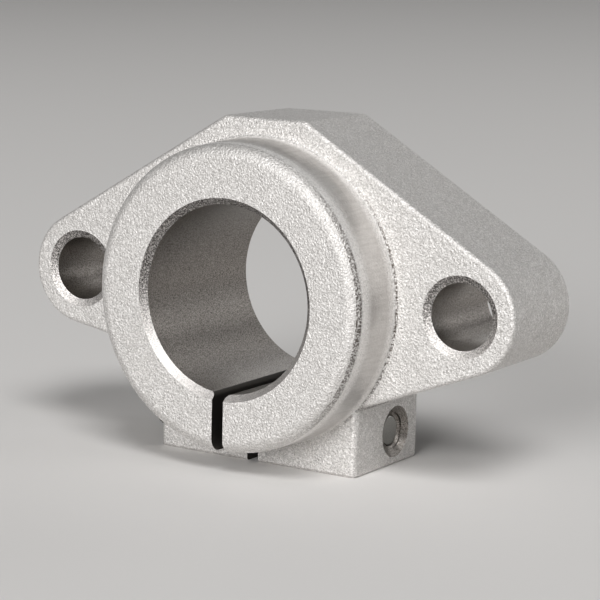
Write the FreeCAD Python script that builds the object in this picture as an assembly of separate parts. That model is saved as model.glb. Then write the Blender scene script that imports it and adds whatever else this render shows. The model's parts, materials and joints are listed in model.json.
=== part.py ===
import FreeCAD, Part
import math
import os

from FreeCAD import Vector

# Sizes are in millimetres and angles in degrees.
# The shaft runs along Y. The mounting face is at Y = 0, the boss points to -Y, and +Z is up.
# The shaft's axis passes through the origin.

# Shaft bore and the round boss about it
bore_diameter = 20.0
bore_front_chamfer = 0.7
bore_back_chamfer = 0.45
support_length = 20.0
boss_wall = 6.5
boss_taper = 0.2
boss_front_round = 1.5
boss_root_fillet = 0.4

# Flange with two bolt ears
flange_thickness = 12.8
top_above_boss = 2.0
top_flat_width = 10.0
top_corner_round = 1.0
bolt_spacing = 48.0
bolt_hole_diameter = 7.0
bolt_mouth_width = 0.8
ear_wall = 2.7
left_lower_slope = 10.0
right_lower_slope = 21.0
flange_front_round = 0.45
flange_back_round = 0.4

# Clamping block that is also the foot
block_width = 24.9
block_height = 9.0
block_proud = 0.25
block_front_round = 0.6
block_back_round = 0.3
foot_edge_round = 0.35

# Slit that lets the bore close on the shaft
slit_width = 1.4
slit_offset = -0.35
slit_corner_round = 0.6

# Clamp screw, a socket head cap screw that lies across the slit
screw_diameter = 4.0
screw_head_diameter = 7.0
screw_head_height = 4.0
screw_head_round = 0.4
hex_key = 3.0
hex_depth = 2.0
screw_tip_chamfer = 0.45
screw_tip_recess = 0.7
screw_back_off = 0.8
screw_below_bore = 4.9
screw_from_mounting_face = 4.7

# Fits, overlaps and cuts
head_to_foot_clearance = 0.1
screw_hole_clearance = 0.25
thread_clearance = 0.05
tapped_mouth_diameter = 5.6
mouth_cone_angle = 120.0
lower_edge_in_block = 1.5
cutter_overrun = 2.0
cone_overrun = 0.1

# Places that follow from the sizes
bore_radius = bore_diameter / 2
boss_radius = bore_radius + boss_wall
boss_side_length = support_length - flange_thickness - boss_front_round
boss_draft = boss_taper / boss_side_length
top_z = boss_radius + top_above_boss
ear_x = bolt_spacing / 2
bolt_hole_radius = bolt_hole_diameter / 2
ear_radius = bolt_hole_radius + ear_wall
block_half = block_width / 2
screw_radius = screw_diameter / 2
screw_head_radius = screw_head_diameter / 2
screw_y = -screw_from_mounting_face
screw_z = -bore_radius - screw_below_bore
foot_z = screw_z - screw_head_radius - head_to_foot_clearance
mouth_cone_slope = math.tan(math.radians(mouth_cone_angle / 2))


def in_section(x, z):
    """Point of the outline, which lies in a plane across the shaft."""
    return Vector(x, 0, z)


def corner_arc(corner, before, after, radius):
    """Arc that rounds a corner of an outline, between its two neighbours."""
    back = (before - corner).normalize()
    ahead = (after - corner).normalize()
    half_angle = back.getAngle(ahead) / 2
    middle = (back + ahead).normalize()
    reach = radius / math.tan(half_angle)
    crown = corner + middle * (radius / math.sin(half_angle) - radius)
    return Part.Arc(corner + back * reach, crown, corner + ahead * reach)


def side_edges(side, lower_slope):
    """Outline of one side, from the middle of the top to a point inside the block. side is 1 or -1."""
    top_corner = Vector(top_flat_width / 2, 0, top_z)
    to_corner = math.atan2(top_corner.z, top_corner.x - ear_x)
    reach = math.hypot(top_corner.x - ear_x, top_corner.z)
    upper_angle = to_corner - math.acos(ear_radius / reach)
    lower_angle = math.radians(lower_slope - 90)
    middle_angle = (upper_angle + lower_angle) / 2

    def on_ear(angle):
        x = ear_x + ear_radius * math.cos(angle)
        return in_section(side * x, ear_radius * math.sin(angle))

    fall = math.tan(math.radians(lower_slope))
    tangent = on_ear(lower_angle)
    inner_x = block_half - lower_edge_in_block
    inner_z = tangent.z - (abs(tangent.x) - inner_x) * fall
    top_middle = in_section(0, top_z)
    corner = in_section(side * top_corner.x, top_z)
    rounding = corner_arc(corner, top_middle, on_ear(upper_angle), top_corner_round)
    ear = Part.Arc(on_ear(upper_angle), on_ear(middle_angle), tangent)
    inner_end = in_section(side * inner_x, inner_z)
    return [
        Part.LineSegment(top_middle, rounding.StartPoint),
        rounding,
        Part.LineSegment(rounding.EndPoint, on_ear(upper_angle)),
        ear,
        Part.LineSegment(tangent, inner_end),
    ], inner_end


def flange_outline():
    """Closed outline of the flange: flat top, two slopes, two round ears and two lower edges."""
    right, right_end = side_edges(1, right_lower_slope)
    left, left_end = side_edges(-1, left_lower_slope)
    closing = Part.LineSegment(right_end, left_end)
    edges = [curve.toShape() for curve in right + left + [closing]]
    return Part.Wire(Part.__sortEdges__(edges))


def edges_in_plane(shape, axis, value):
    """Edges of a shape whose ends all lie in the plane where one coordinate has a value."""
    def lies_there(edge):
        return all(abs(vertex.Point[axis] - value) < 1e-6 for vertex in edge.Vertexes)
    return [edge for edge in shape.Edges if lies_there(edge)]


def turned_about_shaft(curves):
    """Solid that a closed profile sweeps in one turn about the shaft's axis."""
    wire = Part.Wire([curve.toShape() for curve in curves])
    return Part.Face(wire).revolve(Vector(0, 0, 0), Vector(0, 1, 0), 360)


def flange():
    """Cast flange with rounded front and back edges."""
    plate = Part.Face(flange_outline()).extrude(Vector(0, -flange_thickness, 0))
    plate = plate.makeFillet(flange_front_round, edges_in_plane(plate, 1, -flange_thickness))
    return plate.makeFillet(flange_back_round, edges_in_plane(plate, 1, 0))


def boss():
    """Round boss, solid as yet, with a rounded front rim and a slight draft."""
    front = -support_length
    rim_radius = boss_radius - boss_taper
    arc_x = rim_radius - boss_front_round
    arc_y = front + boss_front_round
    eighth = math.sqrt(0.5) * boss_front_round
    centre_front = Vector(0, front, 0)
    face_edge = Vector(arc_x, front, 0)
    rim_middle = Vector(arc_x + eighth, arc_y - eighth, 0)
    rim_end = Vector(rim_radius, arc_y, 0)
    flange_front = Vector(boss_radius, -flange_thickness, 0)
    back_edge = Vector(boss_radius, 0, 0)
    centre_back = Vector(0, 0, 0)
    return turned_about_shaft([
        Part.LineSegment(centre_front, face_edge),
        Part.Arc(face_edge, rim_middle, rim_end),
        Part.LineSegment(rim_end, flange_front),
        Part.LineSegment(flange_front, back_edge),
        Part.LineSegment(back_edge, centre_back),
        Part.LineSegment(centre_back, centre_front),
    ])


def boss_root():
    """Hollow fillet from the boss to the flat of the flange's front face."""
    inner = boss_radius - boss_root_fillet
    outer = boss_radius + boss_root_fillet
    face = -flange_thickness
    eighth = math.sqrt(0.5) * boss_root_fillet
    buried = face + boss_root_fillet
    top = face - boss_root_fillet
    inner_top = Vector(inner, top, 0)
    crest = Vector(boss_radius - boss_draft * boss_root_fillet, top, 0)
    hollow = Vector(outer - eighth, top + eighth, 0)
    outer_edge = Vector(outer, face, 0)
    outer_buried = Vector(outer, buried, 0)
    inner_buried = Vector(inner, buried, 0)
    ring = turned_about_shaft([
        Part.LineSegment(inner_top, crest),
        Part.Arc(crest, hollow, outer_edge),
        Part.LineSegment(outer_edge, outer_buried),
        Part.LineSegment(outer_buried, inner_buried),
        Part.LineSegment(inner_buried, inner_top),
    ])
    depth = flange_thickness + boss_root_fillet
    flat = Part.Face(flange_outline()).makeOffset2D(-flange_front_round)
    return ring.common(flat.extrude(Vector(0, -depth, 0)))


def block():
    """Clamping block under the boss, whose lower face is the foot."""
    depth = flange_thickness + block_proud
    corner = Vector(-block_half, -depth, foot_z)
    solid = Part.makeBox(block_width, depth, block_height, corner)
    top_z_of_block = foot_z + block_height
    level = edges_in_plane(solid, 2, foot_z) + edges_in_plane(solid, 2, top_z_of_block)
    upright = [edge for edge in solid.Edges if not any(edge.isSame(other) for other in level)]
    front = [edge for edge in upright if edge.CenterOfMass.y < -depth / 2]
    solid = solid.makeFillet(block_front_round, front)
    back = [edge for edge in edges_in_plane(solid, 1, 0) if abs(edge.tangentAt(edge.FirstParameter).z) > 0.5]
    solid = solid.makeFillet(block_back_round, back)
    return solid.makeFillet(foot_edge_round, edges_in_plane(solid, 2, foot_z))


def mouth_cone(face_point, inward, radius, width, depth):
    """Cone that breaks the mouth of a round hole. It starts outside the face."""
    outer = radius + width + cone_overrun * width / depth
    start = face_point - inward * cone_overrun
    return Part.makeCone(outer, radius, depth + cone_overrun, start, inward)


def shaft_bore():
    """Cutter for the bore, with its chamfers."""
    start = Vector(0, -support_length - cutter_overrun, 0)
    length = support_length + 2 * cutter_overrun
    along = Vector(0, 1, 0)
    hole = Part.makeCylinder(bore_radius, length, start, along)
    front = Vector(0, -support_length, 0)
    front_cone = mouth_cone(front, along, bore_radius, bore_front_chamfer, bore_front_chamfer)
    back_cone = mouth_cone(Vector(0, 0, 0), -along, bore_radius, bore_back_chamfer, bore_back_chamfer)
    return hole.fuse([front_cone, back_cone])


def bolt_hole(x):
    """Cutter for one bolt hole, with a wide shallow mouth at the front."""
    start = Vector(x, -flange_thickness - cutter_overrun, 0)
    length = flange_thickness + 2 * cutter_overrun
    along = Vector(0, 1, 0)
    hole = Part.makeCylinder(bolt_hole_radius, length, start, along)
    front = Vector(x, -flange_thickness, 0)
    depth = bolt_mouth_width / mouth_cone_slope
    return hole.fuse(mouth_cone(front, along, bolt_hole_radius, bolt_mouth_width, depth))


def slit():
    """Cutter for the slit from the bore to the foot, with rounded corners at the bore."""
    bottom_z = foot_z - cutter_overrun
    curves = []
    ends = []
    for side in (-1, 1):
        wall_x = slit_offset + side * slit_width / 2
        centre_x = wall_x + side * slit_corner_round
        centre_z = -math.sqrt((bore_radius + slit_corner_round) ** 2 - centre_x ** 2)
        centre = in_section(centre_x, centre_z)
        on_bore = centre * (bore_radius / (bore_radius + slit_corner_round))
        on_wall = in_section(wall_x, centre_z)
        outward = (on_bore + on_wall) * 0.5 - centre
        crown = centre + outward.normalize() * slit_corner_round
        bottom = in_section(wall_x, bottom_z)
        curves.append(Part.Arc(on_bore, crown, on_wall))
        curves.append(Part.LineSegment(on_wall, bottom))
        ends.append((on_bore, bottom))
    curves.append(Part.LineSegment(ends[0][0], ends[1][0]))
    curves.append(Part.LineSegment(ends[0][1], ends[1][1]))
    edges = [curve.toShape() for curve in curves]
    profile = Part.Face(Part.Wire(Part.__sortEdges__(edges)))
    profile.translate(Vector(0, cutter_overrun, 0))
    return profile.extrude(Vector(0, -support_length - 2 * cutter_overrun, 0))


def screw_hole():
    """Cutter for the screw: a clearance hole left of the slit and a tapped one right of it."""
    along = Vector(1, 0, 0)
    left_start = Vector(-block_half - cutter_overrun, screw_y, screw_z)
    left_length = block_half + cutter_overrun + slit_offset
    left = Part.makeCylinder(screw_radius + screw_hole_clearance, left_length, left_start, along)
    tapped_radius = screw_radius + thread_clearance
    right_start = Vector(slit_offset, screw_y, screw_z)
    right_length = block_half + cutter_overrun - slit_offset
    right = Part.makeCylinder(tapped_radius, right_length, right_start, along)
    width = tapped_mouth_diameter / 2 - tapped_radius
    right_face = Vector(block_half, screw_y, screw_z)
    mouth = mouth_cone(right_face, -along, tapped_radius, width, width / mouth_cone_slope)
    return left.fuse([right, mouth])


def support_body():
    """One casting: flange, boss and block, then bored, drilled and slit."""
    casting = flange().fuse([boss(), boss_root(), block()]).removeSplitter()
    cutters = [shaft_bore(), bolt_hole(-ear_x), bolt_hole(ear_x), slit(), screw_hole()]
    return casting.cut(cutters).removeSplitter().Solids[0]


def clamp_screw():
    """Socket head cap screw, its head to the left. The thread is a plain round here."""
    seat_x = -block_half - screw_back_off
    end_x = seat_x - screw_head_height
    tip_x = block_half - screw_tip_recess
    eighth = math.sqrt(0.5) * screw_head_round
    rim_x = end_x + screw_head_round
    rim_r = screw_head_radius - screw_head_round

    def at(x, radius):
        return Vector(x, screw_y, screw_z + radius)

    corners = [
        at(rim_x, screw_head_radius),
        at(seat_x, screw_head_radius),
        at(seat_x, screw_radius),
        at(tip_x - screw_tip_chamfer, screw_radius),
        at(tip_x, screw_radius - screw_tip_chamfer),
        at(tip_x, 0),
        at(end_x, 0),
        at(end_x, rim_r),
    ]
    curves = [Part.LineSegment(first, second) for first, second in zip(corners, corners[1:])]
    curves.append(Part.Arc(corners[-1], at(rim_x - eighth, rim_r + eighth), corners[0]))
    wire = Part.Wire([curve.toShape() for curve in curves])
    turned = Part.Face(wire).revolve(at(0, 0), Vector(1, 0, 0), 360)
    across_corners = hex_key / math.cos(math.radians(30))
    hexagon = []
    for step in range(7):
        angle = math.radians(60 * step)
        across = across_corners / 2 * math.cos(angle)
        up = across_corners / 2 * math.sin(angle)
        hexagon.append(Vector(end_x, screw_y + across, screw_z + up))
    socket = Part.Face(Part.makePolygon(hexagon)).extrude(Vector(hex_depth, 0, 0))
    return turned.cut(socket)


os.makedirs("parts", exist_ok=True)
for name, shape in (("support_body", support_body()), ("clamp_screw", clamp_screw())):
    print(name, shape.isValid(), len(shape.Solids), round(shape.Volume, 2))
    shape.exportStep("parts/" + name + ".step")
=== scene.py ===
import json
import math

import bmesh
import bpy
from mathutils import Matrix, Vector


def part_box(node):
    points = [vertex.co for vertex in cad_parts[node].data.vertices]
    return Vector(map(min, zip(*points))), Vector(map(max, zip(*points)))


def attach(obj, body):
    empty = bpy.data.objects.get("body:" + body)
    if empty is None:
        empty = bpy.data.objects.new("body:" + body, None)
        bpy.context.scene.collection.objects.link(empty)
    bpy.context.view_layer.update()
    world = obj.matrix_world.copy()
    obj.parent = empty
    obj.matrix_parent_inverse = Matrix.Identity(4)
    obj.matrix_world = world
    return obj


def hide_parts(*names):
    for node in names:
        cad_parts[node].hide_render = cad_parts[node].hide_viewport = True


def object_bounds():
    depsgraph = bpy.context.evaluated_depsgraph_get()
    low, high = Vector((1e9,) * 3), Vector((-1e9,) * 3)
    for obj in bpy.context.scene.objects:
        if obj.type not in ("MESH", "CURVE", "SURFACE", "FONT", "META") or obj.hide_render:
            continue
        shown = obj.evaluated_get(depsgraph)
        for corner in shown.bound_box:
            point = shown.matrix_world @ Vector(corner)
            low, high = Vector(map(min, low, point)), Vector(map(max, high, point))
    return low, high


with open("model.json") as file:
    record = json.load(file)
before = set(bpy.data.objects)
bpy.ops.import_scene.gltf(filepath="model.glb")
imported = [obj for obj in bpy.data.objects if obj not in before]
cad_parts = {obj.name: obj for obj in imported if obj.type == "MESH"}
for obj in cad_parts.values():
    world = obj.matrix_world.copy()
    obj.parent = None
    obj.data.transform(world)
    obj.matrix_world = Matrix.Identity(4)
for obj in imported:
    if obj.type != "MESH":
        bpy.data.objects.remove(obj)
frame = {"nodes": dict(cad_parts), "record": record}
cad_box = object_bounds()

# The casting
# The support is one aluminium casting: flange with two bolt ears, round boss, and clamping block.
# It was blasted to a fine even grain, then bored for the shaft, drilled, tapped and slit with a saw.
MM = 0.001
mounts = {mount["name"]: mount for mount in frame["record"]["mounts"]}
bore_radius = mounts["shaft_bore"]["dims"]["r_mm"] * MM
bolt_x = mounts["bolt_holes"]["dims"]["spacing_x_mm"] * MM / 2
bolt_radius = mounts["bolt_holes"]["dims"]["hole_r_mm"] * MM
slit_middle = -0.35 * MM
slit_half = 0.7 * MM
slit_corner = 0.6 * MM
boss_radius = 16.5 * MM
boss_face_radius = 15.3 * MM
flange_front = -12.8 * MM
boss_front = cad_box[0].y
boss_front_round = 1.5 * MM
bore_edge = 0.7 * MM
mouth_edge = 0.8 * MM
screw_low, screw_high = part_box("clamp_screw")
screw_axis = Vector((0.0, (screw_low.y + screw_high.y) / 2, (screw_low.z + screw_high.z) / 2))
screw_mouth = 2.8 * MM
thread_pitch = 0.7 * MM
tapped_start = slit_middle + slit_half + 0.175 * MM
tapped_end = 12.1 * MM
tapped_base_radius = 2.12 * MM
tapped_depth = 0.42 * MM
tapped_base = 0.6 * MM
tapped_crest = 0.1 * MM
tapped_steps = 36
tapped_full_until = 0.97
tapped_end_scale = 0.1

# Limits for telling the casting's faces apart. The last three are for one axis of a face's normal.
wall_tolerance = 0.02 * MM
same_place = 0.0005 * MM
soft_corner = math.radians(33)
square_on = 0.95
nearly_square = 0.9
slanted = 0.3

# Where the boss's side drew smooth out of the mould, where its undrawn ends get a painted highlight, and the
# dotted lines of painted shade at its front round and its root.
drawn_from = boss_front + 1.9 * MM
drawn_full = boss_front + 2.9 * MM
drawn_fades = flange_front - 1.5 * MM
drawn_until = flange_front - 0.6 * MM
side_radius = boss_radius - 0.1 * MM
side_half = 0.15 * MM
front_line = boss_front + boss_front_round / 2
front_line_half = 0.28 * MM
root_line_radius = boss_radius + 0.25 * MM
root_line_half = 0.13 * MM

# Colours of bare metal: pale where it is whole, and darker in hollows, torn places and the saw cut.
# One dark brown is painted shade, in dotted lines at the boss's front round and root, and the dark torn grey
# also paints shade on the upper part of the turned edges.
cast_aluminium = "#efedeb"
cast_hollows = "#b2afac"
painted_line_shade = "#4f463e"
bored_aluminium = "#b0aaa4"
bored_hollows = "#5e5954"
cut_aluminium = "#eae6e3"
torn_and_shaded_aluminium = "#3e3a37"
sawn_aluminium = "#4b4844"
milled_aluminium = "#d3d0cc"
milled_shade = "#b4b1ad"

# How far the painted glints and the painted highlight on the undrawn side brighten the metal, and how far the
# streaks and the mottle show.
painted_glint_gain = 0.35
side_highlight_gain = 0.35
streak_share = 0.8
mottle_share = 0.18

# Grit of 0.1 to 0.2 mm leaves grain and dents of about its own size. A mark's slimness is its width as
# a share of its length.
blast_grain = 0.12 * MM
blast_dent = 0.235 * MM
dent_depth = 0.12 * MM
# Painted glints: bright specks in the metal's colour, about this far apart.
painted_glint_spacing = 0.3 * MM
draw_mark_spacing = 0.3 * MM
draw_mark_slimness = 0.12
# The painted shade lines are broken into dots about this far apart.
shade_dot_spacing = 0.2 * MM
cast_mottle = 1.8 * MM
cast_ripple = 6.0 * MM
ripple_depth = 0.25 * MM
bored_grain_depth = 0.025 * MM
tear_depth = 0.05 * MM

# Real tool marks are about 0.05 mm apart and a mill's 0.2 mm. They would be too fine to show in the
# render, so both are drawn coarser.
tool_mark_spacing = 0.14 * MM
tool_mark_depth = 0.02 * MM
bore_mark_slimness = 0.06
saw_mark_slimness = 0.1
saw_mark_depth = 0.04 * MM
milling_step = 0.5 * MM
cutter_radius = 40.0 * MM


def linear(hex_colour):
    """Linear colour of an sRGB hex value."""
    shares = [int(hex_colour[place:place + 2], 16) / 255 for place in (1, 3, 5)]
    return [s / 12.92 if s <= 0.04045 else ((s + 0.055) / 1.055) ** 2.4 for s in shares] + [1.0]


def add(tree, kind, inputs=None, **settings):
    """Adds a node with its settings. Inputs are values or other nodes' sockets, by name or number."""
    made = tree.nodes.new(kind)
    for name, value in settings.items():
        setattr(made, name, value)
    for key, value in (inputs or {}).items():
        if isinstance(value, bpy.types.NodeSocket):
            tree.links.new(value, made.inputs[key])
        else:
            made.inputs[key].default_value = value
    return made


def new_material(name):
    """A material with an empty node tree."""
    material = bpy.data.materials.new(name)
    material.use_nodes = True
    material.node_tree.nodes.clear()
    return material


def blasted_casting():
    """Blasted cast aluminium: bright and matt, with a fine wrinkled grain and painted glints. The boss's side
    is smoother and streaked along the shaft. Near both of its ends it has a painted highlight and a dotted
    line of painted shade."""
    material = new_material("blasted_cast_aluminium")
    tree = material.node_tree
    place = add(tree, "ShaderNodeTexCoord").outputs["Object"]
    grain, dents, painted_glint_noise, shade_dots, mottle, ripple = (
        add(tree, "ShaderNodeTexNoise", {
            "Vector": place, "Scale": 1 / size, "Detail": detail, "Roughness": roughness,
            "Distortion": distortion,
        }).outputs[0]
        for size, detail, roughness, distortion in (
            (blast_grain, 1.0, 0.5, 0.5),
            (blast_dent, 1.0, 0.5, 0.3),
            (painted_glint_spacing, 1.0, 0.5, 0.0),
            (shade_dot_spacing, 2.0, 0.7, 0.0),
            (cast_mottle, 3.0, 0.6, 0.0),
            (cast_ripple, 1.0, 0.5, 0.0),
        )
    )
    along_shaft = add(tree, "ShaderNodeMapping", {"Vector": place, "Scale": (1.0, draw_mark_slimness, 1.0)})
    draw_marks = add(tree, "ShaderNodeTexNoise", {
        "Vector": along_shaft.outputs[0], "Scale": 1 / draw_mark_spacing, "Detail": 2.0, "Roughness": 0.6,
    }).outputs[0]
    across, depth, _ = add(tree, "ShaderNodeSeparateXYZ", {0: place}).outputs
    from_shaft = add(tree, "ShaderNodeVectorMath", {
        0: add(tree, "ShaderNodeVectorMath", {0: place, 1: (1.0, 0.0, 1.0)}, operation="MULTIPLY").outputs[0],
    }, operation="LENGTH").outputs["Value"]

    # The boss's drawn side, between its front round and its root.
    past_round = add(tree, "ShaderNodeMapRange", {
        "Value": depth, "From Min": drawn_from, "From Max": drawn_full,
    }).outputs[0]
    before_flange = add(tree, "ShaderNodeMapRange", {
        "Value": depth, "From Min": drawn_fades, "From Max": drawn_until, "To Min": 1.0, "To Max": 0.0,
    }).outputs[0]
    drawn = add(tree, "ShaderNodeMath", {0: before_flange, 1: past_round}, operation="MULTIPLY").outputs[0]
    side = add(tree, "ShaderNodeMath", {
        0: from_shaft, 1: side_radius, 2: side_half,
    }, operation="COMPARE").outputs[0]
    # Painted highlight: the side's undrawn ends, near its front round and its root, are made brighter.
    painted_side_highlight = add(tree, "ShaderNodeMath", {
        0: side, 1: drawn,
    }, operation="SUBTRACT", use_clamp=True).outputs[0]

    # The two dotted lines of painted shade, strongest at the right of the boss.
    at_round = add(tree, "ShaderNodeMath", {
        0: depth, 1: front_line, 2: front_line_half,
    }, operation="COMPARE").outputs[0]
    off_face = add(tree, "ShaderNodeMath", {
        0: from_shaft, 1: boss_face_radius,
    }, operation="GREATER_THAN").outputs[0]
    at_root = add(tree, "ShaderNodeMath", {
        0: from_shaft, 1: root_line_radius, 2: root_line_half,
    }, operation="COMPARE").outputs[0]
    at_front = add(tree, "ShaderNodeMath", {0: depth, 1: flange_front / 2}, operation="LESS_THAN").outputs[0]
    root_line = add(tree, "ShaderNodeMath", {0: at_root, 1: at_front}, operation="MULTIPLY").outputs[0]
    lines = add(tree, "ShaderNodeMath", {
        0: at_round, 1: off_face, 2: root_line,
    }, operation="MULTIPLY_ADD").outputs[0]
    specks = add(tree, "ShaderNodeMapRange", {
        "Value": shade_dots, "From Min": 0.42, "From Max": 0.56,
    }).outputs[0]
    right_half = add(tree, "ShaderNodeMapRange", {
        "Value": across, "From Min": boss_radius / 2, "From Max": boss_radius, "To Min": 0.0, "To Max": 0.95,
    }).outputs[0]
    dotted_shade_lines = add(tree, "ShaderNodeMath", {0: lines, 1: specks}, operation="MULTIPLY").outputs[0]
    painted_shade_lines = add(tree, "ShaderNodeMath", {0: dotted_shade_lines, 1: right_half}, operation="MULTIPLY").outputs[0]

    # From dark hollows to bright metal: grain with painted glints, streaks on the drawn side, and a slight
    # mottle. The undrawn ends of the side get a painted highlight.
    hollows = add(tree, "ShaderNodeMapRange", {
        "Value": grain, "From Min": 0.3, "From Max": 0.7,
    }).outputs[0]
    painted_glints = add(tree, "ShaderNodeMapRange", {
        "Value": painted_glint_noise, "From Min": 0.58, "From Max": 0.64,
    }).outputs[0]
    speckled = add(tree, "ShaderNodeMath", {
        0: painted_glints, 1: painted_glint_gain, 2: hollows,
    }, operation="MULTIPLY_ADD", use_clamp=True).outputs[0]
    streaks = add(tree, "ShaderNodeMapRange", {
        "Value": draw_marks, "From Min": 0.3, "From Max": 0.7, "To Min": 0.05, "To Max": 0.4,
    }).outputs[0]
    evenness = add(tree, "ShaderNodeMath", {0: drawn, 1: streak_share}, operation="MULTIPLY").outputs[0]
    even = add(tree, "ShaderNodeMix", {"Factor": evenness, "A": speckled, "B": streaks}).outputs[0]
    tone = add(tree, "ShaderNodeMix", {"Factor": mottle_share, "A": even, "B": mottle}).outputs[0]
    bright = add(tree, "ShaderNodeMath", {
        0: painted_side_highlight, 1: side_highlight_gain, 2: tone,
    }, operation="MULTIPLY_ADD", use_clamp=True).outputs[0]
    metal = add(tree, "ShaderNodeMix", {
        "Factor": bright, 6: linear(cast_hollows), 7: linear(cast_aluminium),
    }, data_type="RGBA").outputs[2]
    colour = add(tree, "ShaderNodeMix", {
        "Factor": painted_shade_lines, 6: metal, 7: linear(painted_line_shade),
    }, data_type="RGBA").outputs[2]

    # The drawn side is also glossier and flatter.
    sheen = add(tree, "ShaderNodeMapRange", {"Value": drawn, "To Min": 0.7, "To Max": 0.4}).outputs[0]
    relief = add(tree, "ShaderNodeMapRange", {"Value": drawn, "To Min": 1.0, "To Max": 0.35}).outputs[0]
    height = add(tree, "ShaderNodeMath", {0: dents, 1: relief}, operation="MULTIPLY").outputs[0]
    soft = add(tree, "ShaderNodeBump", {"Height": ripple, "Strength": 0.25, "Distance": ripple_depth})
    rough = add(tree, "ShaderNodeBump", {
        "Height": height, "Strength": 1.0, "Distance": dent_depth, "Normal": soft.outputs[0],
    })
    shader = add(tree, "ShaderNodeBsdfPrincipled", {
        "Base Color": colour, "Metallic": 1.0, "Roughness": sheen, "Normal": rough.outputs[0],
    })
    add(tree, "ShaderNodeOutputMaterial", {"Surface": shader.outputs[0]})
    return material


def bored_wall():
    """Bored and drilled aluminium: satin grey with a fine grain, and faint tool marks round the bore."""
    material = new_material("bored_aluminium")
    tree = material.node_tree
    place = add(tree, "ShaderNodeTexCoord").outputs["Object"]
    round_bore = add(tree, "ShaderNodeMapping", {
        "Vector": place, "Scale": (bore_mark_slimness, 1.0, bore_mark_slimness),
    })
    marks = add(tree, "ShaderNodeTexNoise", {
        "Vector": round_bore.outputs[0], "Scale": 1 / tool_mark_spacing, "Detail": 2.0, "Roughness": 0.6,
    })
    grain = add(tree, "ShaderNodeTexNoise", {
        "Vector": place, "Scale": 1 / blast_grain, "Detail": 2.0, "Roughness": 0.6,
    })
    share = add(tree, "ShaderNodeMapRange", {"Value": grain.outputs[0], "From Min": 0.35, "From Max": 0.6})
    colour = add(tree, "ShaderNodeMix", {
        "Factor": share.outputs[0], 6: linear(bored_hollows), 7: linear(bored_aluminium),
    }, data_type="RGBA")
    fine = add(tree, "ShaderNodeBump", {
        "Height": marks.outputs[0], "Strength": 0.25, "Distance": tool_mark_depth,
    })
    bumped = add(tree, "ShaderNodeBump", {
        "Height": grain.outputs[0], "Strength": 1.0, "Distance": bored_grain_depth, "Normal": fine.outputs[0],
    })
    shader = add(tree, "ShaderNodeBsdfPrincipled", {
        "Base Color": colour.outputs[2], "Metallic": 1.0, "Roughness": 0.3, "Normal": bumped.outputs[0],
    })
    add(tree, "ShaderNodeOutputMaterial", {"Surface": shader.outputs[0]})
    return material


def turned_edge():
    """Turned edges of the bore and mouths of the bolt holes: brighter than the walls, but torn into a coarse
    grain. Towards the bottom the grain fades into painted light, and towards the top it stays as painted
    shade."""
    material = new_material("turned_aluminium_edge")
    tree = material.node_tree
    place = add(tree, "ShaderNodeTexCoord").outputs["Object"]
    tears = add(tree, "ShaderNodeTexNoise", {
        "Vector": place, "Scale": 1 / blast_grain, "Detail": 2.0, "Roughness": 0.7, "Distortion": 0.8,
    }).outputs[0]
    height = add(tree, "ShaderNodeSeparateXYZ", {0: place}).outputs["Z"]
    # Painted light and shade: the lower part of each edge is cleaner and brighter, and the upper part darker.
    painted_light_below = add(tree, "ShaderNodeMapRange", {
        "Value": height, "From Min": -0.6 * bore_radius, "From Max": 0.1 * bore_radius,
        "To Min": 0.7, "To Max": 0.0,
    }).outputs[0]
    whole = add(tree, "ShaderNodeMapRange", {"Value": tears, "From Min": 0.45, "From Max": 0.63}).outputs[0]
    share = add(tree, "ShaderNodeMath", {0: whole, 1: painted_light_below}, operation="ADD", use_clamp=True).outputs[0]
    colour = add(tree, "ShaderNodeMix", {
        "Factor": share, 6: linear(torn_and_shaded_aluminium), 7: linear(cut_aluminium),
    }, data_type="RGBA").outputs[2]
    bumped = add(tree, "ShaderNodeBump", {"Height": tears, "Strength": 1.0, "Distance": tear_depth})
    shader = add(tree, "ShaderNodeBsdfPrincipled", {
        "Base Color": colour, "Metallic": 1.0, "Roughness": 0.54, "Normal": bumped.outputs[0],
    })
    add(tree, "ShaderNodeOutputMaterial", {"Surface": shader.outputs[0]})
    return material


def faced_back():
    """Face-milled aluminium of the mounting face: plain satin metal with long shallow arcs of the cutter."""
    material = new_material("milled_aluminium")
    tree = material.node_tree
    place = add(tree, "ShaderNodeTexCoord").outputs["Object"]
    centred = add(tree, "ShaderNodeMapping", {
        "Vector": place, "Location": (0.0, 0.0, cutter_radius),
    }).outputs[0]
    unit_wave = math.pi / 10  # the spacing of rings at a scale of 1
    arcs = add(tree, "ShaderNodeTexWave", {
        "Vector": centred, "Scale": unit_wave / milling_step, "Distortion": 0.4, "Detail": 1.0,
        "Detail Scale": 0.3,
    }, wave_type="RINGS", rings_direction="Y").outputs["Fac"]
    grain = add(tree, "ShaderNodeTexNoise", {
        "Vector": place, "Scale": 1 / tool_mark_spacing, "Detail": 2.0, "Roughness": 0.6,
    }).outputs[0]
    share = add(tree, "ShaderNodeMix", {"Factor": 0.5, "A": arcs, "B": grain}).outputs[0]
    colour = add(tree, "ShaderNodeMix", {
        "Factor": share, 6: linear(milled_shade), 7: linear(milled_aluminium),
    }, data_type="RGBA").outputs[2]
    bumped = add(tree, "ShaderNodeBump", {"Height": share, "Strength": 0.5, "Distance": tool_mark_depth})
    shader = add(tree, "ShaderNodeBsdfPrincipled", {
        "Base Color": colour, "Metallic": 1.0, "Roughness": 0.38, "Normal": bumped.outputs[0],
    })
    add(tree, "ShaderNodeOutputMaterial", {"Surface": shader.outputs[0]})
    return material


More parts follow.
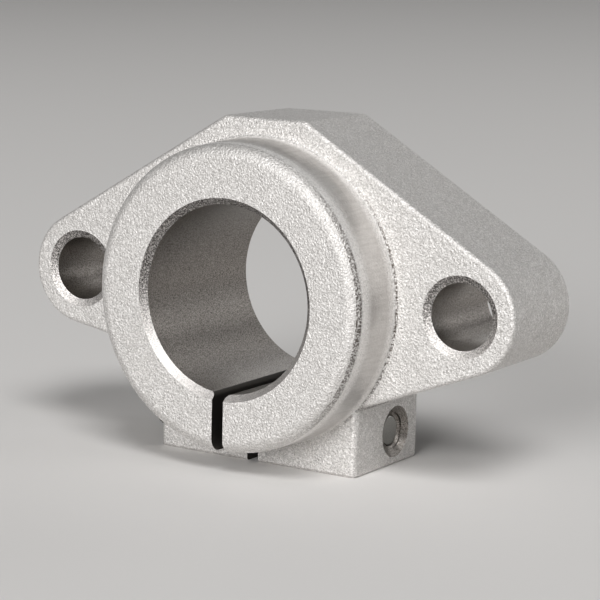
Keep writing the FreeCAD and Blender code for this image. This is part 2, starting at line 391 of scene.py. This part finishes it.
def sawn_wall():
    """Sawn aluminium of the slit: dull and dark, with fine marks along the cut."""
    material = new_material("sawn_aluminium")
    tree = material.node_tree
    place = add(tree, "ShaderNodeTexCoord").outputs["Object"]
    along_cut = add(tree, "ShaderNodeMapping", {"Vector": place, "Scale": (1.0, saw_mark_slimness, 1.0)})
    marks = add(tree, "ShaderNodeTexNoise", {
        "Vector": along_cut.outputs[0], "Scale": 1 / tool_mark_spacing, "Detail": 2.0, "Roughness": 0.6,
    })
    bumped = add(tree, "ShaderNodeBump", {
        "Height": marks.outputs[0], "Strength": 0.4, "Distance": saw_mark_depth,
    })
    shader = add(tree, "ShaderNodeBsdfPrincipled", {
        "Base Color": linear(sawn_aluminium), "Metallic": 1.0, "Roughness": 0.55,
        "Normal": bumped.outputs[0],
    })
    add(tree, "ShaderNodeOutputMaterial", {"Surface": shader.outputs[0]})
    return material


finishes = (blasted_casting, bored_wall, sawn_wall, turned_edge, faced_back)


def finish_of(face):
    """The finish of a face of the casting."""
    centre = face.calc_center_median()
    from_shaft = math.hypot(centre.x, centre.z)
    from_bolt = math.hypot(abs(centre.x) - bolt_x, centre.z)
    from_screw = math.hypot(centre.y - screw_axis.y, centre.z - screw_axis.z)
    on_edge = from_shaft < bore_radius + bore_edge or from_bolt < bolt_radius + mouth_edge
    off_slit = abs(centre.x - slit_middle) - slit_half
    if from_shaft < bore_radius + wall_tolerance or from_bolt < bolt_radius + wall_tolerance:
        return bored_wall
    if from_screw < screw_mouth and abs(face.normal.x) < square_on:
        return bored_wall
    if slanted < abs(face.normal.y) < square_on and on_edge:
        return turned_edge
    if abs(off_slit) < wall_tolerance and abs(face.normal.x) > nearly_square:
        return sawn_wall
    if off_slit < slit_corner and from_shaft < bore_radius + slit_corner and centre.z < 0:
        return sawn_wall
    if face.normal.y > square_on and abs(centre.y) < wall_tolerance:
        return faced_back
    return blasted_casting


def soften(shape):
    """Shades a shape smooth, apart from its sharp corners and the borders between two finishes."""
    for face in shape.faces:
        face.smooth = True
    for edge in shape.edges:
        one_finish = len({face.material_index for face in edge.link_faces}) == 1
        edge.smooth = len(edge.link_faces) == 2 and one_finish and edge.calc_face_angle() < soft_corner


def seamless_copy(node, name, detail):
    """A CAD node's mesh as a new piece, with its loose triangles joined, a detail added, a finish for each
    face, and its soft corners shaded smooth."""
    mesh = bpy.data.meshes.new(name)
    shape = bmesh.new()
    shape.from_mesh(frame["nodes"][node].data)
    bmesh.ops.remove_doubles(shape, verts=shape.verts, dist=same_place)
    bmesh.ops.dissolve_degenerate(shape, edges=shape.edges, dist=same_place)
    shape.from_mesh(detail)
    for face in shape.faces:
        face.material_index = finishes.index(finish_of(face))
    soften(shape)
    shape.to_mesh(mesh)
    shape.free()
    piece = bpy.data.objects.new(name, mesh)
    bpy.context.scene.collection.objects.link(piece)
    return piece


def growing_tree(name, sizes):
    """A Geometry Nodes tree with the named sizes as inputs, and the sockets that give them."""
    tree = bpy.data.node_groups.new(name, "GeometryNodeTree")
    for size in sizes:
        tree.interface.new_socket(size, in_out="INPUT", socket_type="NodeSocketFloat")
    tree.interface.new_socket("Material", in_out="INPUT", socket_type="NodeSocketMaterial")
    tree.interface.new_socket("Geometry", in_out="OUTPUT", socket_type="NodeSocketGeometry")
    return tree, add(tree, "NodeGroupInput").outputs


def close_tree(tree, geometry, given):
    """Ends a tree: its instances become plain faces with the given material."""
    real = add(tree, "GeometryNodeRealizeInstances", {0: geometry})
    dressed = add(tree, "GeometryNodeSetMaterial", {
        "Geometry": real.outputs[0], "Material": given["Material"],
    })
    add(tree, "NodeGroupOutput", {0: dressed.outputs[0]})


def grown(tree, values):
    """The plain mesh that a tree makes from its named values."""
    holder = bpy.data.objects.new(tree.name, bpy.data.meshes.new(tree.name))
    bpy.context.scene.collection.objects.link(holder)
    growth = holder.modifiers.new(tree.name, "NODES")
    growth.node_group = tree
    for socket in tree.interface.items_tree:
        if socket.in_out == "INPUT":
            growth[socket.identifier] = values[socket.name]
    evaluated = holder.evaluated_get(bpy.context.evaluated_depsgraph_get())
    mesh = bpy.data.meshes.new_from_object(evaluated)
    bpy.data.objects.remove(holder)
    return mesh


def cut_thread():
    """The thread cut in a hole along X: one ridge on a spiral, with its base inside the wall. It runs out
    to almost nothing over its last half turn."""
    tree, given = growing_tree("cut_thread", (
        "Start", "Pitch", "Turns", "Base radius", "Depth", "Base width", "Crest width", "Steps a turn",
    ))
    length = add(tree, "ShaderNodeMath", {
        0: given["Turns"], 1: given["Pitch"],
    }, operation="MULTIPLY").outputs[0]
    spiral = add(tree, "GeometryNodeCurveSpiral", {
        "Resolution": given["Steps a turn"], "Rotations": given["Turns"], "Height": length,
        "Start Radius": given["Base radius"], "End Radius": given["Base radius"],
    })
    upright = add(tree, "GeometryNodeSetCurveNormal", {"Curve": spiral.outputs[0]}, mode="Z_UP")
    near_base, near_crest, far_crest, far_base = (
        add(tree, "ShaderNodeMath", {0: given[width], 1: share}, operation="MULTIPLY").outputs[0]
        for width, share in (
            ("Base width", 0.5), ("Crest width", 0.5), ("Crest width", -0.5), ("Base width", -0.5),
        )
    )
    profile = add(tree, "GeometryNodeCurvePrimitiveQuadrilateral", {
        "Point 1": add(tree, "ShaderNodeCombineXYZ", {"Y": near_base}).outputs[0],
        "Point 2": add(tree, "ShaderNodeCombineXYZ", {"X": given["Depth"], "Y": near_crest}).outputs[0],
        "Point 3": add(tree, "ShaderNodeCombineXYZ", {"X": given["Depth"], "Y": far_crest}).outputs[0],
        "Point 4": add(tree, "ShaderNodeCombineXYZ", {"Y": far_base}).outputs[0],
    }, mode="POINTS")
    run_out = add(tree, "ShaderNodeMapRange", {
        "Value": add(tree, "GeometryNodeSplineParameter").outputs["Factor"],
        "From Min": tapped_full_until, "From Max": 1.0, "To Min": 1.0, "To Max": tapped_end_scale,
    }).outputs[0]
    ridge = add(tree, "GeometryNodeCurveToMesh", {
        "Curve": upright.outputs[0], "Profile Curve": profile.outputs[0], "Scale": run_out, "Fill Caps": True,
    })
    outwards = add(tree, "GeometryNodeFlipFaces", {0: ridge.outputs[0]})
    lying = add(tree, "GeometryNodeTransform", {
        "Geometry": outwards.outputs[0], "Rotation": (0.0, math.pi / 2, 0.0),
        "Translation": add(tree, "ShaderNodeCombineXYZ", {"X": given["Start"]}).outputs[0],
    })
    close_tree(tree, lying.outputs[0], given)
    return tree


casting_materials = [make() for make in finishes]
tapped_thread = grown(cut_thread(), {
    "Start": tapped_start, "Pitch": thread_pitch, "Turns": (tapped_end - tapped_start) / thread_pitch,
    "Base radius": tapped_base_radius, "Depth": tapped_depth, "Base width": tapped_base,
    "Crest width": tapped_crest, "Steps a turn": tapped_steps,
    "Material": casting_materials[finishes.index(bored_wall)],
})
for vert in tapped_thread.vertices:
    vert.co += screw_axis
casting = seamless_copy("support_body", "support_casting", tapped_thread)
for material in casting_materials:
    casting.data.materials.append(material)
weighting = casting.modifiers.new("even_faces", "WEIGHTED_NORMAL")
weighting.keep_sharp = True
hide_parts("support_body")
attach(casting, "root")

# The clamp screw
# A steel socket head cap screw, M4 by 25, lies across the slit and closes the bore on the shaft.
# Its head was forged and knurled and its thread rolled, and it is left bright.
turned_steel = "#94938f"
knurl_radius = (screw_high.z - screw_low.z) / 2
knurl_ridges = 60
knurl_size = 0.17 * MM
knurl_height = 0.12 * MM
head_height = 4.0 * MM
head_top = screw_low.x
head_seat = head_top + head_height
head_radius = knurl_radius - knurl_height
head_sides = 96
head_edge = 0.4 * MM
head_edge_steps = 6
seat_edge = 0.1 * MM
socket_flats = 3.0 * MM
socket_depth = 2.0 * MM
socket_cone = 0.5 * MM
socket_mouth = 0.08 * MM
thread_crest = 1.98 * MM
thread_root = 1.6 * MM
thread_flat = 1 / 8
thread_sides = 48
rows_a_pitch = 8
same_point = 0.001 * MM
tip_radius = 1.55 * MM
overlap = 0.3 * MM


def bright_steel():
    """Bright turned steel: smooth and glossy, with very fine tool marks."""
    material = new_material("bright_steel")
    tree = material.node_tree
    place = add(tree, "ShaderNodeTexCoord").outputs["Object"]
    marks = add(tree, "ShaderNodeTexNoise", {
        "Vector": place, "Scale": 1 / tool_mark_spacing, "Detail": 2.0, "Roughness": 0.6,
    })
    bumped = add(tree, "ShaderNodeBump", {
        "Height": marks.outputs[0], "Strength": 0.2, "Distance": tool_mark_depth,
    })
    shader = add(tree, "ShaderNodeBsdfPrincipled", {
        "Base Color": linear(turned_steel), "Metallic": 1.0, "Roughness": 0.26, "Normal": bumped.outputs[0],
    })
    add(tree, "ShaderNodeOutputMaterial", {"Surface": shader.outputs[0]})
    return material


def rolled_thread():
    """A thread along X: a grid rolled up with its rows along the helix, closed flat at both ends."""
    tree, given = growing_tree("rolled_thread", (
        "Start", "End", "Pitch", "Root radius", "Crest radius", "Tip radius", "Pitches", "Rows a pitch",
        "Sides",
    ))
    rows = add(tree, "ShaderNodeMath", {
        0: given["Pitches"], 1: given["Rows a pitch"], 2: 1.0,
    }, operation="MULTIPLY_ADD").outputs[0]
    grid = add(tree, "GeometryNodeMeshGrid", {
        "Size X": 1.0, "Size Y": 1.0, "Vertices X": rows, "Vertices Y": given["Sides"],
    })
    spot = add(tree, "ShaderNodeSeparateXYZ", {0: add(tree, "GeometryNodeInputPosition").outputs[0]})
    back = add(tree, "ShaderNodeMath", {
        0: given["Start"], 1: given["Root radius"],
    }, operation="SUBTRACT").outputs[0]
    first = add(tree, "ShaderNodeMath", {0: back, 1: given["Pitch"]}, operation="SUBTRACT").outputs[0]
    last = add(tree, "ShaderNodeMath", {0: given["End"], 1: given["Tip radius"]}, operation="ADD").outputs[0]
    farthest = add(tree, "ShaderNodeMath", {
        0: given["Pitches"], 1: given["Pitch"], 2: first,
    }, operation="MULTIPLY_ADD").outputs[0]
    row = add(tree, "ShaderNodeMapRange", {
        "Value": spot.outputs["X"], "From Min": -0.5, "From Max": 0.5, "To Min": first, "To Max": farthest,
    }).outputs[0]
    turn = add(tree, "ShaderNodeMath", {0: spot.outputs["Y"], 1: 0.5}, operation="ADD").outputs[0]
    reach = add(tree, "ShaderNodeMath", {
        0: turn, 1: given["Pitch"], 2: row,
    }, operation="MULTIPLY_ADD").outputs[0]
    pitches = add(tree, "ShaderNodeMath", {0: row, 1: given["Pitch"]}, operation="DIVIDE").outputs[0]
    wave = add(tree, "ShaderNodeMath", {0: pitches, 1: 0.5}, operation="PINGPONG").outputs[0]
    profile = add(tree, "ShaderNodeMapRange", {
        "Value": wave, "From Min": thread_flat / 2, "From Max": (1 - thread_flat) / 2,
        "To Min": given["Root radius"], "To Max": given["Crest radius"],
    }).outputs[0]
    to_tip = add(tree, "ShaderNodeMath", {0: last, 1: reach}, operation="SUBTRACT").outputs[0]
    to_back = add(tree, "ShaderNodeMath", {0: reach, 1: back}, operation="SUBTRACT").outputs[0]
    ended = add(tree, "ShaderNodeMath", {0: profile, 1: to_tip}, operation="MINIMUM").outputs[0]
    begun = add(tree, "ShaderNodeMath", {0: ended, 1: to_back}, operation="MINIMUM").outputs[0]
    radius = add(tree, "ShaderNodeMath", {0: begun, 1: 0.0}, operation="MAXIMUM").outputs[0]
    short = add(tree, "ShaderNodeMath", {0: reach, 1: given["End"]}, operation="MINIMUM").outputs[0]
    along = add(tree, "ShaderNodeMath", {0: short, 1: given["Start"]}, operation="MAXIMUM").outputs[0]
    flat = add(tree, "ShaderNodeCombineXYZ", {"X": along, "Y": radius})
    angle = add(tree, "ShaderNodeMath", {0: turn, 1: 2 * math.pi}, operation="MULTIPLY").outputs[0]
    round_x = add(tree, "ShaderNodeVectorRotate", {
        "Vector": flat.outputs[0], "Angle": angle,
    }, rotation_type="X_AXIS")
    rolled = add(tree, "GeometryNodeSetPosition", {
        "Geometry": grid.outputs[0], "Position": round_x.outputs[0],
    })
    joined = add(tree, "GeometryNodeMergeByDistance", {"Geometry": rolled.outputs[0], "Distance": same_point})
    outwards = add(tree, "GeometryNodeFlipFaces", {0: joined.outputs[0]})
    close_tree(tree, outwards.outputs[0], given)
    return tree


def knurl():
    """Straight ridges round a head, each a three-sided bar with one corner outwards."""
    tree, given = growing_tree("knurl", ("Middle", "Radius", "Length", "Size", "Ridges"))
    ring = add(tree, "GeometryNodeMeshCircle", {"Vertices": given["Ridges"], "Radius": given["Radius"]})
    ridge = add(tree, "GeometryNodeMeshCylinder", {
        "Vertices": 3, "Radius": given["Size"], "Depth": given["Length"],
    })
    outwards = add(tree, "FunctionNodeAlignRotationToVector", {
        "Vector": add(tree, "GeometryNodeInputPosition").outputs[0],
    }, axis="X")
    ridges = add(tree, "GeometryNodeInstanceOnPoints", {
        "Points": ring.outputs[0], "Instance": ridge.outputs[0], "Rotation": outwards.outputs[0],
    })
    lying = add(tree, "GeometryNodeTransform", {
        "Geometry": ridges.outputs[0], "Rotation": (0.0, math.pi / 2, 0.0),
        "Translation": add(tree, "ShaderNodeCombineXYZ", {"X": given["Middle"]}).outputs[0],
    })
    close_tree(tree, lying.outputs[0], given)
    return tree


def head_shape():
    """The head as rings of points from its seat round to the bottom of its six-sided socket."""
    side = 2 * math.pi / head_sides
    sixth = math.pi / 3
    flats = [socket_flats / 2 / math.cos((place * side) % sixth - sixth / 2) for place in range(head_sides)]
    corner = max(flats)
    rings = [(head_seat, [head_radius - seat_edge] * head_sides)]
    rings.append((head_seat - seat_edge, [head_radius] * head_sides))
    for step in range(head_edge_steps + 1):
        bend = step * math.pi / 2 / head_edge_steps
        radius = head_radius - head_edge * (1 - math.cos(bend))
        rings.append((head_top + head_edge * (1 - math.sin(bend)), [radius] * head_sides))
    rings.append((head_top, [corner + socket_mouth] * head_sides))
    rings.append((head_top + socket_mouth, flats))
    rings.append((head_top + socket_depth, flats))
    shape = bmesh.new()
    loops = []
    for x, radii in rings:
        points = [(x, r * math.cos(n * side), r * math.sin(n * side)) for n, r in enumerate(radii)]
        loops.append([shape.verts.new(point) for point in points])
    for near, far in zip(loops, loops[1:]):
        for n in range(head_sides):
            after = (n + 1) % head_sides
            shape.faces.new((near[n], near[after], far[after], far[n]))
    for loop, x in ((loops[0], head_seat), (loops[-1], head_top + socket_depth + socket_cone)):
        pole = shape.verts.new((x, 0.0, 0.0))
        for n in range(head_sides):
            shape.faces.new((pole, loop[n], loop[(n + 1) % head_sides]))
    bmesh.ops.recalc_face_normals(shape, faces=shape.faces)
    return shape


steel = bright_steel()
screw_shape = head_shape()
screw_shape.from_mesh(grown(knurl(), {
    "Middle": (head_top + head_edge + head_seat - seat_edge) / 2, "Radius": knurl_radius - knurl_size,
    "Length": head_seat - head_top - head_edge - seat_edge, "Size": knurl_size, "Ridges": knurl_ridges,
    "Material": steel,
}))
shank_start = head_seat - overlap
thread_pitches = math.ceil((screw_high.x - shank_start + thread_root + tip_radius) / thread_pitch) + 1
screw_shape.from_mesh(grown(rolled_thread(), {
    "Start": shank_start, "End": screw_high.x, "Pitch": thread_pitch, "Root radius": thread_root,
    "Crest radius": thread_crest, "Tip radius": tip_radius, "Pitches": thread_pitches,
    "Rows a pitch": rows_a_pitch, "Sides": thread_sides + 1, "Material": steel,
}))
for vert in screw_shape.verts:
    vert.co += screw_axis
for face in screw_shape.faces:
    face.material_index = 0
soften(screw_shape)
screw_mesh = bpy.data.meshes.new("cap_screw")
screw_shape.to_mesh(screw_mesh)
screw_shape.free()
screw_mesh.materials.append(steel)
screw = bpy.data.objects.new("cap_screw", screw_mesh)
bpy.context.scene.collection.objects.link(screw)
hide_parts("clamp_screw")
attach(screw, "root")

# Stand and light
# The support stands on a plain pale floor under soft studio lamps: one in front, one high at the right,
# one at the right side, and three behind that give the bores their sheen.
pale_paper = "#d6d4d2"
studio_white = "#e4e3e1"
air_strength = 0.03
floor_z = cad_box[0].z
floor_half = 8.0
lamp_aim = Vector((0.0, -0.01, 0.0))
lamps = (
    ("front_lamp", (0.30, -2.84, 0.90), 1.4, 1.4, 80.0),
    ("key_lamp", (1.20, -1.35, 2.39), 1.2, 1.2, 53.0),
    ("right_lamp", (2.66, 0.80, 1.05), 0.7, 0.7, 8.0),
    ("low_back_lamp", (1.41, 2.55, 0.73), 0.75, 1.3, 4.6),
    ("high_back_lamp", (0.27, 2.53, 1.59), 1.5, 0.7, 3.8),
    ("left_back_lamp", (-1.04, 2.58, 1.12), 0.8, 1.0, 2.9),
)

floor_mesh = bpy.data.meshes.new("floor")
corners = [(x * floor_half, y * floor_half, floor_z) for x, y in ((-1, -1), (1, -1), (1, 1), (-1, 1))]
floor_mesh.from_pydata(corners, [], [(0, 1, 2, 3)])
floor = bpy.data.objects.new("floor", floor_mesh)
bpy.context.scene.collection.objects.link(floor)
paper = new_material("pale_paper")
paper_shader = add(paper.node_tree, "ShaderNodeBsdfPrincipled", {
    "Base Color": linear(pale_paper), "Roughness": 0.9, "Specular IOR Level": 0.2,
})
add(paper.node_tree, "ShaderNodeOutputMaterial", {"Surface": paper_shader.outputs[0]})
floor_mesh.materials.append(paper)

for name, place, width, height, power in lamps:
    lamp = bpy.data.lights.new(name, "AREA")
    lamp.shape = "RECTANGLE"
    lamp.size = width
    lamp.size_y = height
    lamp.energy = power
    holder = bpy.data.objects.new(name, lamp)
    bpy.context.scene.collection.objects.link(holder)
    holder.location = place
    holder.rotation_euler = (lamp_aim - Vector(place)).to_track_quat("-Z", "Y").to_euler()

world = bpy.data.worlds.new("studio_air")
world.use_nodes = True
background = world.node_tree.nodes["Background"]
background.inputs["Color"].default_value = linear(studio_white)
background.inputs["Strength"].default_value = air_strength
bpy.context.scene.world = world
bpy.context.scene.view_settings.view_transform = "Standard"

# Camera
# It looks down on the boss from the right, as the photograph does.
camera_place = Vector((128.2607, -210.3870, 39.7875)) * MM
camera_forward = Vector((-0.5215562, 0.8361681, -0.1697118))
camera_right = Vector((0.8460299, 0.5325920, 0.0240661))
camera = bpy.data.cameras.new("camera")
camera.sensor_width = 36.0
camera.lens = 134.865
camera.clip_start = 0.01
viewer = bpy.data.objects.new("camera", camera)
bpy.context.scene.collection.objects.link(viewer)
camera_up = camera_right.cross(camera_forward)
turn = Matrix((camera_right, camera_up, -camera_forward)).transposed()
viewer.matrix_world = Matrix.Translation(camera_place) @ turn.to_4x4()
bpy.context.scene.camera = viewer
